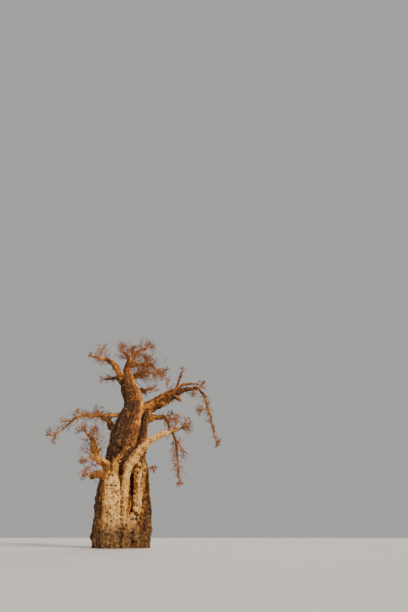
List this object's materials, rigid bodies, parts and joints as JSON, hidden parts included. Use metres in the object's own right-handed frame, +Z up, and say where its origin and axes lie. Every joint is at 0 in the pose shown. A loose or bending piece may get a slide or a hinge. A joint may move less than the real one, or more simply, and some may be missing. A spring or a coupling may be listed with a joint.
{
  "type": "baobab tree",
  "caption": "Leafless baobab tree: a massive fluted trunk of fused stems, a tall leaning leader, crooked tapering boughs that arch and droop, and sparse twigs at their ends.",
  "frame": {"origin": "middle of the flat cut at the trunk's foot, level with the ground", "axes": "+Z up the tree, -Y toward the side the picture shows, +X to the right in the picture"},
  "size_m": [9.7038, 7.2006, 11.4531],
  "materials": {
    "pale_bark": "matte pale folded bark",
    "copper_bark": "matte copper-brown bark",
    "twig_bark": "matte red-brown twig bark"
  },
  "bodies": {
    "root": {"bough_centre": "pale_bark", "bough_crown_back": "copper_bark", "bough_crown_left": "copper_bark", "bough_crown_mid": "copper_bark", "bough_crown_right": "copper_bark", "bough_drooping": "copper_bark", "bough_front_right": "pale_bark", "bough_hanging": "copper_bark", "bough_left_long": "copper_bark", "bough_left_low": "pale_bark", "bough_left_stub": "pale_bark", "bough_mid_right": "copper_bark", "bough_rear_high": "copper_bark", "bough_rear_left": "copper_bark", "bough_rear_low": "copper_bark", "bough_rear_right": "copper_bark", "bough_rear_top": "copper_bark", "bough_small_left": "copper_bark", "bough_top_left": "copper_bark", "bough_upper_right": "copper_bark", "bough_upright": "copper_bark", "leader": "copper_bark", "right_stem": "copper_bark", "trunk": "pale_bark", "twigs_centre": "twig_bark", "twigs_crown_back": "twig_bark", "twigs_crown_back_side": "twig_bark", "twigs_crown_left": "twig_bark", "twigs_crown_mid": "twig_bark", "twigs_crown_mid_side": "twig_bark", "twigs_crown_right": "twig_bark", "twigs_crown_right_up": "twig_bark", "twigs_drooping": "twig_bark", "twigs_drooping_side": "twig_bark", "twigs_front_right": "twig_bark", "twigs_front_right_up": "twig_bark", "twigs_hanging": "twig_bark", "twigs_hanging_side": "twig_bark", "twigs_left_long": "twig_bark", "twigs_left_long_fan": "twig_bark", "twigs_left_long_up": "twig_bark", "twigs_left_low": "twig_bark", "twigs_left_low_side": "twig_bark", "twigs_left_low_up": "twig_bark", "twigs_left_stub": "twig_bark", "twigs_mid_right": "twig_bark", "twigs_mid_right_up": "twig_bark", "twigs_rear_high": "twig_bark", "twigs_rear_left": "twig_bark", "twigs_rear_low": "twig_bark", "twigs_rear_right": "twig_bark", "twigs_rear_top": "twig_bark", "twigs_right_stem": "twig_bark", "twigs_small_left": "twig_bark", "twigs_top_left": "twig_bark", "twigs_top_left_up": "twig_bark", "twigs_upper_right": "twig_bark", "twigs_upper_right_low": "twig_bark", "twigs_upper_right_up": "twig_bark", "twigs_upright": "twig_bark"}
  },
  "joints": []
}
